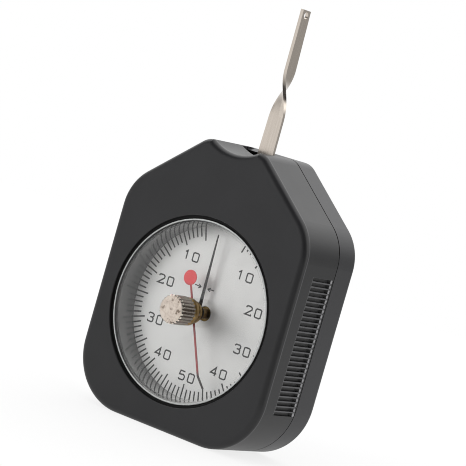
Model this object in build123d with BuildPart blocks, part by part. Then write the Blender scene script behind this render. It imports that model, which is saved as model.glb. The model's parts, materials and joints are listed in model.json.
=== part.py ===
from build123d import *

import os
from math import acos, asin, cos, degrees, pi, radians, sin, tan

# Dial tension gauge, in millimetres. It stands on its flat foot: X runs to the right as the dial
# is read, Y runs from the front face to the back, and Z runs up the measuring arm. The origin is
# the middle of the foot. A "depth" is always counted from the front face of the case.

# Case, overall
case_width = 65.9
case_depth = 27.6
case_height = 83.9
top_width = 19.1
shoulder_height = 64.85
shoulder_radius = 14.2
foot_radius = 17.3
top_radius = 5.6
dial_height = 34.74
front_depth = 17.8
wall = 2.0
front_edge_radius = 1.75
rear_edge_radius = 2.0
overrun = 1.0

# Clearances that serve every fit
running_gap = 0.05
press_gap = 0.02
loose_gap = 0.3
hole_tail = 0.5

# Joint between the two shells
lip_gap = 0.1
lip_thickness = 1.0
lip_height = 1.5

# Shallow groove round the case at the joint
seam_gap = 0.3
seam_depth = 0.5

# Top of the front shell: its top face rises to the joint, and a thumb scoop is cut in it, with a
# radius that is a share of the case's width
top_rise = 0.5
scoop_radius_share = 0.242792
scoop_floor_height = 81.1
scoop_rise = 0.7

# Slot that the arm swings in, from a gap in front of the arm back to a pocket in the rear shell
slot_side_gap = 0.15
slot_front_gap = 0.95
slot_pocket_depth = 2.0
slot_lintel = 1.3
slot_bevel_height = 0.9
slot_bevel_depth = 3.5

# Ribbed grips on both sides of the front shell
grip_count = 28
grip_pitch = 1.44
grip_pocket_height = 1.05
grip_pocket_depth = 1.2
grip_start_depth = 6.9
grip_end_depth = 17.3
grip_ramp = 1.0

# Dial opening, crystal and dial
opening_radius = 27.3
opening_chamfer = 0.25
crystal_gap = 0.6
crystal_recess = 0.3
crystal_thickness = 1.3
crystal_rim_bevel = 0.5
skirt_wall_front = 1.0
skirt_wall_rear = 1.3
skirt_taper = 0.3
flange_reach = 2.1
flange_thickness = 1.2
gasket_thickness = 0.5
seat_wall = 1.6
dial_depth = 9.05
dial_thickness = 0.5
dial_hole_radius = 2.2
dial_foot_radius = 1.0
dial_foot_length = 1.7
dial_foot_inset = 11.0

# Reset knob, its bush in the crystal and the peak pointer
knob_radius = 4.15
knob_length = 6.3
knob_gap = 1.7
knob_teeth = 24
knob_tooth_depth = 0.45
knob_bevel = 0.45
knob_bore_depth = 4.5
knob_shaft_radius = 1.0
bush_radius = 2.0
bush_flange_radius = 4.0
bush_flange_thickness = 1.4
bush_bevel = 0.4
bush_nut_thickness = 0.5
bush_nut_radius = 3.4
washer_thickness = 0.2
washer_radius = 2.6
peak_collar_radius = 3.3
peak_collar_thickness = 1.0
peak_thickness = 0.2
peak_half_width = 0.3
peak_angle = 155.4
peak_disc_radius = 2.2
peak_eye_radius = 2.0
peak_disc_reach = 10.0
peak_tip_inset = 1.2
peak_bend_length = 3.4

# Needle
needle_depth = 5.8
needle_thickness = 0.3
needle_tip_gap = 4.3
needle_root_half_width = 0.55
needle_tip_half_width = 0.13
needle_eye_radius = 2.0
needle_lean = -1.53
needle_hub_radius = 1.5
needle_spigot_radius = 1.1
needle_hub_lift = 0.25

# Movement plates and pillars
plate_thickness = 1.2
plate_spacing = 10.1
ear_radius = 3.6
ear_offset = 3.0
ear_angle = 60.0
tongue_half_width = 14.0
tongue_rise = 11.0
tongue_corner = 5.0
rear_plate_top_half_width = 14.5
rear_plate_foot_half_width = 22.0
rear_plate_top_rise = 8.0
rear_plate_foot_drop = 10.0
rear_plate_corner = 4.0
pillar_radius = 2.0
pillar_spigot_radius = 1.0
upper_pillar_x = 12.0
upper_pillar_rise = 3.6
lower_pillar_x = 18.0
lower_pillar_drop = 6.0

# Gear pair: the sector on the arm drives the pinion of the needle
gear_centres = 31.0
pinion_teeth = 10
gear_ratio = 12
pressure_angle = 20.0
backlash = 0.08
gear_root_gap = 0.15
sector_addendum = 0.28
pinion_addendum = 0.44
sector_tooth_count = 13
sector_thickness = 1.0
sector_rim = 3.2
sector_hub_radius = 6.5
sector_window_start = 11.0
sector_window_half_angle = 12.0
flank_steps = 3
pinion_width = 1.5
arm_travel = 15.0

# Measuring arm
arm_thickness = 1.0
arm_front_depth = 15.75
arm_width = 5.2
arm_tip_width = 3.8
arm_eye_radius = 6.2
arm_twist = 90.0
arm_neck_length = 9.6
arm_twist_length = 15.0
arm_blade_length = 17.4
arm_blade_lean = 0.65
arm_twist_steps = 12
tip_hole_radius = 1.0
tip_hole_drop = 1.5

# Arm hub and its arbor
arbor_radius = 1.5
arbor_pivot_radius = 0.8
arbor_rear_radius = 1.2
arbor_shoulder_gap = 0.4
arbor_rear_reach = 3.2
hub_flange_radius = 6.5
hub_flange_thickness = 1.5
hub_boss_radius = 3.0
hub_boss_length = 1.6
hub_spigot_radius = 2.5
hub_spigot_tail = 0.8
arm_screw_offset = 4.5
arm_screw_radius = 0.75
arm_screw_head_radius = 1.4
arm_screw_head_height = 0.8
arm_bush_radius = 2.4

# Needle arbor
pointer_arbor_radius = 0.75
pointer_pivot_radius = 0.5
pointer_bush_radius = 1.6

# Springs: a strong spiral on the arm behind the rear plate, a fine one on the needle arbor
spring_thickness = 0.45
spring_width = 2.0
spring_pitch = 2.1
spring_turns = 3
spring_gap = 0.7
spring_collet_radius = 3.0
spring_collet_length = 2.4
spring_stud_radius = 1.0
hairspring_thickness = 0.15
hairspring_width = 0.8
hairspring_pitch = 0.9
hairspring_turns = 4
hairspring_depth = 12.2
hairspring_collet_radius = 1.6
hairspring_collet_length = 1.2
hairspring_stud_radius = 0.6

# Stop pins for the arm
stop_pin_radius = 0.75
stop_pin_reach = 10.0

# Fasteners
case_screw_radius = 1.2
case_screw_head_radius = 2.4
case_screw_head_height = 1.6
case_screw_engagement = 8.8
case_screw_recess = 2.5
case_screw_hole_radius = 1.4
case_boss_radius = 2.8
rear_boss_radius = 3.3
upper_boss_x = 23.5
upper_boss_height = 61.0
lower_boss_x = 23.0
lower_boss_height = 10.5
movement_screw_radius = 0.95
movement_screw_head_radius = 1.9
movement_screw_head_height = 1.1
movement_screw_length = 6.0
movement_boss_radius = 2.8
pillar_screw_radius = 0.8
pillar_screw_head_radius = 1.8
pillar_screw_head_height = 1.0
pillar_screw_length = 3.0
driver_width = 0.5
driver_depth = 0.6
driver_cross_share = 0.6
driver_slot_share = 0.5

# Sizes that follow from those above
half_width = case_width / 2
scoop_radius = case_width * scoop_radius_share
pivot_height = dial_height + gear_centres
plate_depth = dial_depth + dial_thickness
plate_rear_depth = plate_depth + plate_thickness
rear_plate_depth = plate_rear_depth + plate_spacing
rear_plate_rear_depth = rear_plate_depth + plate_thickness
arm_rear_depth = arm_front_depth + arm_thickness
arm_middle_depth = arm_front_depth + arm_thickness / 2
sector_rear_depth = arm_rear_depth + sector_thickness
rear_cavity_depth = case_depth - wall
shell_inset = wall + lip_gap + lip_thickness
crystal_radius = opening_radius - crystal_gap
needle_reach = opening_radius - needle_tip_gap
peak_tip_reach = needle_reach - peak_tip_inset
peak_bend_reach = peak_tip_reach - peak_bend_length
flange_radius = crystal_radius + flange_reach
crystal_rear_depth = crystal_recess + crystal_thickness
flange_depth = wall + gasket_thickness
seat_radius = flange_radius + loose_gap
dial_radius = flange_radius
dial_foot_spread = dial_radius - dial_foot_inset
ear_reach = dial_radius + ear_offset
bush_nut_depth = crystal_rear_depth + bush_nut_thickness
collar_depth = bush_nut_depth + washer_thickness
peak_tip_depth = needle_depth - loose_gap
slot_front_depth = arm_front_depth - slot_front_gap
slot_reach = (case_height - pivot_height) * tan(radians(arm_travel))
slot_width = 2 * (slot_reach + arm_width / 2 / cos(radians(arm_travel)) + slot_side_gap)
slot_cut_height = case_height - scoop_floor_height + wall + overrun
tongue_height = pivot_height + tongue_rise
rear_plate_top_height = pivot_height + rear_plate_top_rise
rear_plate_foot_height = dial_height - rear_plate_foot_drop
upper_pillar_height = pivot_height + upper_pillar_rise
lower_pillar_height = dial_height - lower_pillar_drop
arm_twist_start_height = case_height + arm_neck_length
arm_twist_end_height = arm_twist_start_height + arm_twist_length
arm_tip_height = arm_twist_end_height + arm_blade_length
case_screw_head_depth = case_depth - case_screw_recess
case_screw_length = case_screw_head_depth - front_depth + case_screw_engagement
case_screw_places = [
    (-upper_boss_x, upper_boss_height),
    (upper_boss_x, upper_boss_height),
    (-lower_boss_x, lower_boss_height),
    (lower_boss_x, lower_boss_height),
]
pillar_places = [
    (-upper_pillar_x, upper_pillar_height),
    (upper_pillar_x, upper_pillar_height),
    (-lower_pillar_x, lower_pillar_height),
    (lower_pillar_x, lower_pillar_height),
]
ear_x = ear_reach * cos(radians(ear_angle))
ear_rise = ear_reach * sin(radians(ear_angle))
ear_places = [
    (-ear_x, dial_height + ear_rise),
    (ear_x, dial_height + ear_rise),
    (-ear_x, dial_height - ear_rise),
    (ear_x, dial_height - ear_rise),
]
dial_foot_places = [(-dial_foot_spread, 0), (dial_foot_spread, 0)]
grip_rises = [(rib - (grip_count - 1) / 2) * grip_pitch for rib in range(grip_count)]
arm_screw_places = [(0, -arm_screw_offset), (0, arm_screw_offset)]
stop_reach_at_arm = arm_width / 2 + stop_pin_radius + loose_gap
stop_angle = arm_travel + degrees(asin(stop_reach_at_arm / stop_pin_reach))
stop_x = stop_pin_reach * sin(radians(stop_angle))
stop_rise = stop_pin_reach * cos(radians(stop_angle))
stop_places = [(-stop_x, stop_rise), (stop_x, stop_rise)]

# Gear sizes
pinion_pitch_radius = gear_centres / (gear_ratio + 1)
sector_pitch_radius = gear_centres - pinion_pitch_radius
sector_teeth = pinion_teeth * gear_ratio
gear_tooth_width = pi * pinion_pitch_radius / pinion_teeth - backlash
pinion_tip_radius = pinion_pitch_radius + pinion_addendum
sector_tip_radius = sector_pitch_radius + sector_addendum
pinion_root_radius = gear_centres - sector_tip_radius - gear_root_gap
sector_root_radius = gear_centres - pinion_tip_radius - gear_root_gap
tooth_angle = 360 / sector_teeth
sector_half_angle = sector_tooth_count / 2 * tooth_angle


def face_at(depth, height=0, turn=0):
    """Plane at a depth, seen from the front, turned clockwise by so many degrees."""
    across = (cos(radians(turn)), 0, -sin(radians(turn)))
    return Plane(origin=(0, depth - case_depth / 2, height), x_dir=across, z_dir=(0, -1, 0))


def section_at(height):
    """Plane for turned profiles: depth runs along it, radius stands up from it."""
    return Plane(origin=(0, -case_depth / 2, height), x_dir=(0, 1, 0), z_dir=(1, 0, 0))


def turning_axis(height):
    return Axis((0, 0, height), (0, 1, 0))


def case_outline(inset=0, corner_radius=top_radius):
    """Front view of the case: flat foot, straight sides, sloping shoulders and a narrow top.
    Its top corners stay sharp with a corner radius of zero."""
    with BuildSketch() as outline:
        with BuildLine():
            Polyline(
                (-half_width, 0),
                (half_width, 0),
                (half_width, shoulder_height),
                (top_width / 2, case_height),
                (-top_width / 2, case_height),
                (-half_width, shoulder_height),
                close=True,
            )
        make_face()
        corners = outline.vertices().group_by(Axis.Y)
        fillet(corners[0], radius=foot_radius)
        shoulders = outline.vertices().filter_by_position(
            Axis.Y, shoulder_height - overrun, shoulder_height + overrun
        )
        fillet(shoulders, radius=shoulder_radius)
        if corner_radius:
            fillet(outline.vertices().group_by(Axis.Y)[-1], radius=corner_radius)
        if inset:
            offset(amount=-inset, mode=Mode.REPLACE)
    return outline.sketch


def ring(outer_radius, inner_radius):
    with BuildSketch() as band:
        Circle(outer_radius)
        Circle(inner_radius, mode=Mode.SUBTRACT)
    return band.sketch


def spiral_strip(inner_radius, pitch, turns, thickness):
    """Flat spiral of half circles, each wider than the last by half a pitch."""
    with BuildSketch() as strip:
        with BuildLine():
            for edge in (0, thickness):
                for half_turn in range(2 * turns):
                    centre_x = pitch / 2 * (half_turn % 2)
                    radius = inner_radius + pitch / 2 * half_turn + edge
                    CenterArc((centre_x, 0), radius, 180 * half_turn, 180)
            outer_end = inner_radius + pitch * turns
            Line((inner_radius, 0), (inner_radius + thickness, 0))
            Line((outer_end, 0), (outer_end + thickness, 0))
        make_face()
    return strip.sketch


def fan(outer_radius, inner_radius, half_angle):
    """Slice of a ring, standing on the local Y axis."""
    reach = 2 * outer_radius
    edge_x = reach * sin(radians(half_angle))
    edge_y = reach * cos(radians(half_angle))
    with BuildSketch() as slice_outline:
        Circle(outer_radius)
        with BuildLine():
            Polyline((0, 0), (edge_x, edge_y), (-edge_x, edge_y), close=True)
        make_face(mode=Mode.INTERSECT)
        if inner_radius:
            Circle(inner_radius, mode=Mode.SUBTRACT)
    return slice_outline.sketch


def involute(angle):
    return tan(angle) - angle


def gap_half_angle(radius, pitch_radius, teeth):
    """Half of the angle between two teeth at a radius, in radians. Flanks are radial below
    the base circle."""
    base_radius = pitch_radius * cos(radians(pressure_angle))
    flank_radius = max(radius, base_radius)
    tooth = gear_tooth_width / (2 * pitch_radius) + involute(radians(pressure_angle))
    tooth = tooth - involute(acos(base_radius / flank_radius))
    return pi / teeth - tooth


def tooth_gap(root_radius, tip_radius, pitch_radius, teeth, steps):
    """Outline of the space between two teeth, standing on the local Y axis."""
    right_flank = []
    for step in range(steps + 1):
        radius = root_radius + (tip_radius - root_radius) * step / steps
        half_angle = gap_half_angle(radius, pitch_radius, teeth)
        right_flank.append((radius * sin(half_angle), radius * cos(half_angle)))
    clear_of_tip = (tip_radius + overrun) / tip_radius
    mouth_x, mouth_y = right_flank[-1]
    right_flank.append((mouth_x * clear_of_tip, mouth_y * clear_of_tip))
    left_flank = [(-x, y) for x, y in reversed(right_flank)]
    with BuildSketch() as gap:
        with BuildLine():
            Polyline(*right_flank, *left_flank, close=True)
        make_face()
    return gap.sketch


os.makedirs("parts", exist_ok=True)

# Space inside the front shell. Under the thumb scoop its roof slopes as the scoop does
scoop_slope = scoop_rise / front_depth
with BuildPart() as front_cavity:
    with BuildSketch(face_at(front_depth)):
        add(case_outline(wall))
    extrude(amount=front_depth - wall)
    with BuildSketch(Plane.YZ):
        roof_height = scoop_floor_height - wall
        with BuildLine():
            Polyline(
                (-case_depth / 2, roof_height),
                (slot_front_depth - case_depth / 2, roof_height + scoop_slope * slot_front_depth),
                (slot_front_depth - case_depth / 2, case_height),
                (-case_depth / 2, case_height),
                close=True,
            )
        make_face()
    extrude(amount=top_width, both=True, mode=Mode.SUBTRACT)

# Front shell: moulded, with the dial opening, the seat for the crystal and all the bosses
with BuildPart() as front_shell:
    with BuildSketch(face_at(front_depth)):
        add(case_outline(corner_radius=0))
    extrude(amount=front_depth)
    with BuildSketch(Plane.YZ):
        with BuildLine():
            Polyline(
                (-case_depth / 2 - overrun, case_height - top_rise * (1 + overrun / front_depth)),
                (front_depth - case_depth / 2, case_height),
                (front_depth - case_depth / 2, case_height + overrun),
                (-case_depth / 2 - overrun, case_height + overrun),
                close=True,
            )
        make_face()
    extrude(amount=case_width, both=True, mode=Mode.SUBTRACT)
    top_edges = front_shell.faces().sort_by(Axis.Z)[-1].edges().sort_by(Axis.X)
    fillet([top_edges[0], top_edges[-1]], radius=top_radius)
    with BuildSketch(face_at(-overrun)):
        with Locations((0, scoop_floor_height - scoop_slope * overrun + scoop_radius)):
            Circle(scoop_radius)
    extrude(amount=case_depth, dir=(0, 1, scoop_slope), mode=Mode.SUBTRACT)
    fillet(front_shell.faces().sort_by(Axis.Y)[0].edges(), radius=front_edge_radius)
    add(front_cavity.part, mode=Mode.SUBTRACT)
    with BuildSketch(face_at(dial_depth, dial_height)):
        add(ring(seat_radius + seat_wall, seat_radius))
    extrude(amount=dial_depth - wall)
    with BuildSketch(face_at(plate_depth)):
        with Locations(*ear_places):
            Circle(movement_boss_radius)
    extrude(amount=plate_depth - wall)
    with BuildSketch(face_at(front_depth)):
        with Locations(*case_screw_places):
            Circle(case_boss_radius)
    extrude(amount=front_depth - wall)
    with BuildSketch(face_at(dial_depth, dial_height)):
        Circle(seat_radius)
    extrude(amount=dial_depth - wall, mode=Mode.SUBTRACT)
    with BuildSketch(section_at(dial_height)):
        with BuildLine():
            Polyline(
                (-overrun, 0),
                (-overrun, opening_radius + opening_chamfer + overrun),
                (opening_chamfer, opening_radius),
                (wall + overrun, opening_radius),
                (wall + overrun, 0),
                close=True,
            )
        make_face()
    revolve(axis=turning_axis(dial_height), mode=Mode.SUBTRACT)
    with BuildSketch(face_at(plate_depth)):
        with Locations(*ear_places):
            Circle(movement_screw_radius + running_gap)
    extrude(amount=movement_screw_length - plate_thickness + hole_tail, mode=Mode.SUBTRACT)
    with BuildSketch(face_at(front_depth)):
        with Locations(*case_screw_places):
            Circle(case_screw_radius + running_gap)
    extrude(amount=case_screw_engagement + hole_tail, mode=Mode.SUBTRACT)
    with BuildSketch(face_at(front_depth)):
        with Locations((0, case_height + overrun)):
            Rectangle(slot_width, slot_cut_height, align=(Align.CENTER, Align.MAX))
    extrude(amount=front_depth - slot_front_depth, mode=Mode.SUBTRACT)
    with BuildSketch(face_at(front_depth)):
        add(case_outline())
        add(case_outline(seam_depth), mode=Mode.SUBTRACT)
    extrude(amount=seam_gap, mode=Mode.SUBTRACT)
    for side in (-1, 1):
        grip_side = Plane(origin=(side * half_width, 0, dial_height), x_dir=(0, 1, 0), z_dir=(0, 0, 1))
        with BuildSketch(*[grip_side.offset(rise) for rise in grip_rises]):
            with BuildLine():
                Polyline(
                    (grip_start_depth - case_depth / 2, -side * overrun),
                    (grip_start_depth - case_depth / 2, 0),
                    (grip_start_depth + grip_ramp - case_depth / 2, side * grip_pocket_depth),
                    (grip_end_depth - grip_ramp - case_depth / 2, side * grip_pocket_depth),
                    (grip_end_depth - case_depth / 2, 0),
                    (grip_end_depth - case_depth / 2, -side * overrun),
                    close=True,
                )
            make_face()
        extrude(amount=grip_pocket_height / 2, both=True, mode=Mode.SUBTRACT)
front_shell.part.label = "front_shell"
export_step(front_shell.part, "parts/front_shell.step")

# Rear shell: a tray whose lip slips inside the front shell, with four screw bosses. Behind the
# slot its top edge slopes back over a pocket
with BuildPart() as rear_shell:
    with BuildSketch(face_at(case_depth)):
        add(case_outline())
    extrude(amount=case_depth - front_depth)
    fillet(rear_shell.faces().sort_by(Axis.Y)[-1].edges(), radius=rear_edge_radius)
    with BuildSketch(face_at(front_depth)):
        add(case_outline(wall + lip_gap))
    extrude(amount=lip_height)
    with BuildSketch(face_at(rear_cavity_depth)):
        add(case_outline(shell_inset))
    extrude(amount=case_depth, mode=Mode.SUBTRACT)
    with BuildSketch(face_at(rear_cavity_depth)):
        with Locations(*case_screw_places):
            Circle(rear_boss_radius)
    extrude(amount=rear_cavity_depth - front_depth)
    with BuildSketch(face_at(case_depth)):
        with Locations(*case_screw_places):
            Circle(case_screw_hole_radius)
    extrude(amount=case_depth, mode=Mode.SUBTRACT)
    with BuildSketch(face_at(case_depth)):
        with Locations(*case_screw_places):
            Circle(case_screw_head_radius + running_gap)
    extrude(amount=case_screw_recess, mode=Mode.SUBTRACT)
    with BuildSketch(face_at(front_depth + slot_pocket_depth)):
        with Locations((0, case_height - slot_lintel)):
            Rectangle(slot_width + 2 * lip_thickness, slot_cut_height, align=(Align.CENTER, Align.MAX))
    extrude(amount=slot_pocket_depth + lip_height + overrun, mode=Mode.SUBTRACT)
    with BuildSketch(Plane.YZ):
        with BuildLine():
            Polyline(
                (front_depth - case_depth / 2, case_height - slot_bevel_height),
                (front_depth + slot_bevel_depth - case_depth / 2, case_height),
                (front_depth - case_depth / 2, case_height),
                close=True,
            )
        make_face()
    extrude(amount=slot_width / 2, both=True, mode=Mode.SUBTRACT)
rear_shell.part.label = "rear_shell"
export_step(rear_shell.part, "parts/rear_shell.step")

# Four screws that go in from the back through the rear shell into the front shell's bosses
with BuildPart() as shell_screws:
    with BuildSketch(face_at(case_screw_head_depth)):
        with Locations(*case_screw_places):
            Circle(case_screw_radius)
    extrude(amount=case_screw_length)
    with BuildSketch(face_at(case_screw_head_depth + case_screw_head_height)):
        with Locations(*case_screw_places):
            Circle(case_screw_head_radius)
    extrude(amount=case_screw_head_height)
    with BuildSketch(face_at(case_screw_head_depth + case_screw_head_height)):
        with Locations(*case_screw_places):
            Rectangle(2 * case_screw_head_radius * driver_cross_share, driver_width)
            Rectangle(driver_width, 2 * case_screw_head_radius * driver_cross_share)
    extrude(amount=driver_depth, mode=Mode.SUBTRACT)
shell_screws.part.label = "shell_screws"
export_step(shell_screws.part, "parts/shell_screws.step")

# Crystal: one clear cup, with its skirt down to the dial and a flange behind the front wall
with BuildPart() as crystal:
    with BuildSketch(section_at(dial_height)):
        with BuildLine():
            Polyline(
                (crystal_recess, bush_radius + running_gap),
                (crystal_recess, crystal_radius - crystal_rim_bevel),
                (crystal_recess + crystal_rim_bevel, crystal_radius),
                (flange_depth, crystal_radius),
                (flange_depth, flange_radius),
                (flange_depth + flange_thickness, flange_radius),
                (flange_depth + flange_thickness, crystal_radius),
                (dial_depth, crystal_radius - skirt_taper),
                (dial_depth, crystal_radius - skirt_taper - skirt_wall_rear),
                (crystal_rear_depth, crystal_radius - skirt_wall_front),
                (crystal_rear_depth, bush_radius + running_gap),
                close=True,
            )
        make_face()
    revolve(axis=turning_axis(dial_height))
crystal.part.label = "crystal"
export_step(crystal.part, "parts/crystal.step")

# Flat gasket between the crystal's flange and the front wall
with BuildPart() as crystal_gasket:
    with BuildSketch(face_at(flange_depth, dial_height)):
        add(ring(flange_radius, opening_radius))
    extrude(amount=gasket_thickness)
crystal_gasket.part.label = "crystal_gasket"
export_step(crystal_gasket.part, "parts/crystal_gasket.step")

# Dial plate, with two feet behind it that find holes in the front plate
with BuildPart() as dial_plate:
    with BuildSketch(face_at(plate_depth, dial_height)):
        add(ring(dial_radius, dial_hole_radius))
    extrude(amount=dial_thickness)
dial_plate.part.label = "dial_plate"
export_step(dial_plate.part, "parts/dial_plate.step")

with BuildPart() as dial_feet:
    with BuildSketch(face_at(plate_depth + dial_foot_length, dial_height)):
        with Locations(*dial_foot_places):
            Circle(dial_foot_radius)
    extrude(amount=dial_foot_length)
dial_feet.part.label = "dial_feet"
export_step(dial_feet.part, "parts/dial_feet.step")

# Front movement plate: a disc behind the dial, four ears for its screws, and a tongue that
# carries the front bearing of the arm
with BuildPart() as front_plate:
    with BuildSketch(face_at(plate_rear_depth)):
        with Locations((0, dial_height)):
            Circle(dial_radius)
        with Locations(*ear_places):
            Circle(ear_radius)
        with Locations((0, (dial_height + tongue_height) / 2)):
            RectangleRounded(2 * tongue_half_width, tongue_height - dial_height, tongue_corner)
        with Locations(*ear_places):
            Circle(movement_screw_radius + running_gap, mode=Mode.SUBTRACT)
        with Locations(*pillar_places):
            Circle(pillar_spigot_radius + press_gap, mode=Mode.SUBTRACT)
        with Locations((0, dial_height)):
            Circle(pointer_bush_radius + press_gap, mode=Mode.SUBTRACT)
        with Locations((0, pivot_height)):
            Circle(arm_bush_radius + press_gap, mode=Mode.SUBTRACT)
        with Locations(*[(x, dial_height + y) for x, y in dial_foot_places]):
            Circle(dial_foot_radius + running_gap, mode=Mode.SUBTRACT)
        with Locations(*[(x, pivot_height + y) for x, y in stop_places]):
            Circle(stop_pin_radius + press_gap, mode=Mode.SUBTRACT)
    extrude(amount=plate_thickness)
front_plate.part.label = "front_plate"
export_step(front_plate.part, "parts/front_plate.step")

# Rear movement plate
with BuildPart() as rear_plate:
    with BuildSketch(face_at(rear_plate_rear_depth)):
        with BuildLine():
            Polyline(
                (-rear_plate_foot_half_width, rear_plate_foot_height),
                (rear_plate_foot_half_width, rear_plate_foot_height),
                (rear_plate_top_half_width, rear_plate_top_height),
                (-rear_plate_top_half_width, rear_plate_top_height),
                close=True,
            )
        make_face()
        fillet(vertices(), radius=rear_plate_corner)
        with Locations(*pillar_places):
            Circle(pillar_screw_radius + running_gap, mode=Mode.SUBTRACT)
        with Locations((0, dial_height)):
            Circle(pointer_bush_radius + press_gap, mode=Mode.SUBTRACT)
        with Locations((0, pivot_height)):
            Circle(arm_bush_radius + press_gap, mode=Mode.SUBTRACT)
    extrude(amount=plate_thickness)
rear_plate.part.label = "rear_plate"
export_step(rear_plate.part, "parts/rear_plate.step")

# Four pillars hold the plates apart. Each has a spigot in the front plate and a tapped end
with BuildPart() as plate_pillars:
    with BuildSketch(face_at(rear_plate_depth)):
        with Locations(*pillar_places):
            Circle(pillar_radius)
    extrude(amount=plate_spacing)
    with BuildSketch(face_at(plate_rear_depth)):
        with Locations(*pillar_places):
            Circle(pillar_spigot_radius)
    extrude(amount=plate_thickness)
    with BuildSketch(face_at(rear_plate_depth)):
        with Locations(*pillar_places):
            Circle(pillar_screw_radius + running_gap)
    extrude(amount=pillar_screw_length, mode=Mode.SUBTRACT)
plate_pillars.part.label = "plate_pillars"
export_step(plate_pillars.part, "parts/plate_pillars.step")


def round_head_screws(places, head_seat, height, head_radius, head_height, shank_radius, length):
    """Screws whose heads stand behind a face at one depth, with a straight slot in each head."""
    with BuildPart() as screws:
        with BuildSketch(face_at(head_seat, height)):
            with Locations(*places):
                Circle(shank_radius)
        extrude(amount=length)
        with BuildSketch(face_at(head_seat + head_height, height)):
            with Locations(*places):
                Circle(head_radius)
        extrude(amount=head_height)
        with BuildSketch(face_at(head_seat + head_height, height)):
            with Locations(*places):
                Rectangle(2 * head_radius + overrun, driver_width)
        extrude(amount=head_height * driver_slot_share, mode=Mode.SUBTRACT)
    return screws.part


pillar_screws = round_head_screws(
    pillar_places,
    rear_plate_rear_depth,
    0,
    pillar_screw_head_radius,
    pillar_screw_head_height,
    pillar_screw_radius,
    pillar_screw_length,
)
pillar_screws.label = "pillar_screws"
export_step(pillar_screws, "parts/pillar_screws.step")

movement_screws = round_head_screws(
    ear_places,
    plate_rear_depth,
    0,
    movement_screw_head_radius,
    movement_screw_head_height,
    movement_screw_radius,
    movement_screw_length,
)
movement_screws.label = "movement_screws"
export_step(movement_screws, "parts/movement_screws.step")

# Bearing bushes pressed in the two plates
with BuildPart() as arm_bushes:
    with BuildSketch(face_at(plate_rear_depth, pivot_height)):
        add(ring(arm_bush_radius, arbor_pivot_radius + running_gap))
    extrude(amount=plate_thickness)
    with BuildSketch(face_at(rear_plate_rear_depth, pivot_height)):
        add(ring(arm_bush_radius, arbor_rear_radius + running_gap))
    extrude(amount=plate_thickness)
arm_bushes.part.label = "arm_bushes"
export_step(arm_bushes.part, "parts/arm_bushes.step")

with BuildPart() as pointer_bushes:
    with BuildSketch(face_at(plate_rear_depth, dial_height)):
        add(ring(pointer_bush_radius, pointer_arbor_radius + running_gap))
    extrude(amount=plate_thickness)
    with BuildSketch(face_at(rear_plate_rear_depth, dial_height)):
        add(ring(pointer_bush_radius, pointer_pivot_radius + running_gap))
    extrude(amount=plate_thickness)
pointer_bushes.part.label = "pointer_bushes"
export_step(pointer_bushes.part, "parts/pointer_bushes.step")

# Stop pins at both sides of the arm, just past the end of its travel
with BuildPart() as stop_pins:
    with BuildSketch(face_at(arm_rear_depth, pivot_height)):
        with Locations(*stop_places):
            Circle(stop_pin_radius)
    extrude(amount=arm_rear_depth - plate_depth)
stop_pins.part.label = "stop_pins"
export_step(stop_pins.part, "parts/stop_pins.step")

# Arbor of the arm: a front pivot, a body for the hub, and a rear journal for the spring
with BuildPart() as arm_arbor:
    with BuildSketch(section_at(pivot_height)):
        front_shoulder = plate_rear_depth + arbor_shoulder_gap
        rear_shoulder = rear_plate_depth - arbor_shoulder_gap
        arbor_end = rear_plate_rear_depth + arbor_rear_reach
        with BuildLine():
            Polyline(
                (plate_depth + arbor_shoulder_gap, 0),
                (plate_depth + arbor_shoulder_gap, arbor_pivot_radius),
                (front_shoulder, arbor_pivot_radius),
                (front_shoulder, arbor_radius),
                (rear_shoulder, arbor_radius),
                (rear_shoulder, arbor_rear_radius),
                (arbor_end, arbor_rear_radius),
                (arbor_end, 0),
                close=True,
            )
        make_face()
    revolve(axis=turning_axis(pivot_height))
arm_arbor.part.label = "arm_arbor"
export_step(arm_arbor.part, "parts/arm_arbor.step")

# Hub of the arm: a boss, a flange for two screws, and a spigot that centres arm and sector
with BuildPart() as arm_hub:
    flange_face = arm_front_depth - hub_flange_thickness
    with BuildSketch(section_at(pivot_height)):
        with BuildLine():
            Polyline(
                (flange_face - hub_boss_length, arbor_radius + press_gap),
                (flange_face - hub_boss_length, hub_boss_radius),
                (flange_face, hub_boss_radius),
                (flange_face, hub_flange_radius),
                (arm_front_depth, hub_flange_radius),
                (arm_front_depth, hub_spigot_radius),
                (sector_rear_depth + hub_spigot_tail, hub_spigot_radius),
                (sector_rear_depth + hub_spigot_tail, arbor_radius + press_gap),
                close=True,
            )
        make_face()
    revolve(axis=turning_axis(pivot_height))
    with BuildSketch(face_at(arm_front_depth, pivot_height)):
        with Locations(*arm_screw_places):
            Circle(arm_screw_radius + press_gap)
    extrude(amount=hub_flange_thickness, mode=Mode.SUBTRACT)
arm_hub.part.label = "arm_hub"
export_step(arm_hub.part, "parts/arm_hub.step")


def arm_share(height):
    """How far up the free part of the arm a height lies, from 0 at the case to 1 at the tip."""
    return (height - case_height) / (arm_tip_height - case_height)


def arm_width_at(height):
    return arm_width + (arm_tip_width - arm_width) * max(0, arm_share(height))


def arm_section(height, turned):
    """Plane across the arm at a height, turned about its length by so many degrees."""
    across = (cos(radians(turned)), -sin(radians(turned)), 0)
    lean = arm_blade_lean * max(0, height - arm_twist_end_height) / arm_blade_length
    arm_middle = arm_middle_depth - lean - case_depth / 2
    return Plane(origin=(0, arm_middle, height), x_dir=across, z_dir=(0, 0, 1))


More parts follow.
